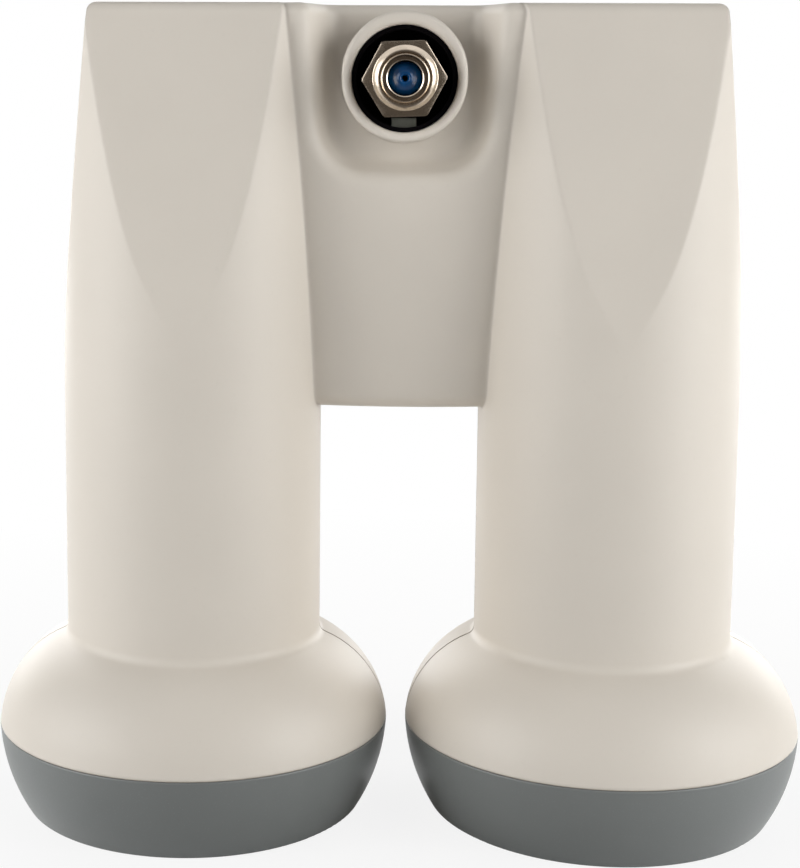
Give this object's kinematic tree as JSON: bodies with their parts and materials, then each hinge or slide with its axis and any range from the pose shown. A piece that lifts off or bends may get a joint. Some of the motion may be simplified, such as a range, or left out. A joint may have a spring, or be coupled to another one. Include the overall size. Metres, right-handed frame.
{
  "type": "twin-feed satellite receiver head",
  "caption": "Satellite dish receiver head with two parallel feed necks, domed shoulders and dark feed caps, joined by a housing with a threaded coaxial socket in a round collar.",
  "frame": {"origin": "on the feed axes' plane, midway between the feeds, level with the flat undersides of the caps", "axes": "+X from the left feed to the right one as seen from the socket's side, +Y away from the socket, +Z along the feeds from the caps towards the housing"},
  "size_m": [0.1262, 0.0616, 0.1247],
  "materials": {
    "shell_plastic": "fine matt moulding, light warm beige",
    "cap_plastic": "satin dark grey moulding",
    "black_rubber": "matt",
    "cast_metal": "as cast",
    "probe_brass": "drawn",
    "white_insulation": "smooth",
    "plated_metal": "turned and nickel plated",
    "blue_insulation": "smooth",
    "board_laminate": "solder resist",
    "sheet_metal": "rolled",
    "screw_steel": "zinc plated",
    "chip_moulding": "matt",
    "can_metal": "brushed",
    "tan_ceramic": "fired",
    "ferrite": "pressed"
  },
  "bodies": {
    "root": {"front_shell": "shell_plastic", "rear_shell": "shell_plastic", "left_feed_cap": "cap_plastic", "right_feed_cap": "cap_plastic", "left_cap_seal": "black_rubber", "right_cap_seal": "black_rubber", "cast_chassis": "cast_metal", "straight_probes": "probe_brass", "bent_probes": "probe_brass", "probe_sleeves": "white_insulation", "isolation_pins": "probe_brass", "connector_body": "plated_metal", "connector_insulator": "blue_insulation", "connector_ferrule": "plated_metal", "connector_contact": "probe_brass", "connector_bush": "white_insulation", "connector_gasket": "black_rubber", "circuit_board": "board_laminate", "shield_lid": "sheet_metal", "lid_screws": "screw_steel", "lna_transistors": "chip_moulding", "converter_chips": "chip_moulding", "reference_crystals": "can_metal", "switch_chip": "chip_moulding", "voltage_regulator": "chip_moulding", "filter_capacitors": "tan_ceramic", "choke_coils": "ferrite"}
  },
  "joints": []
}
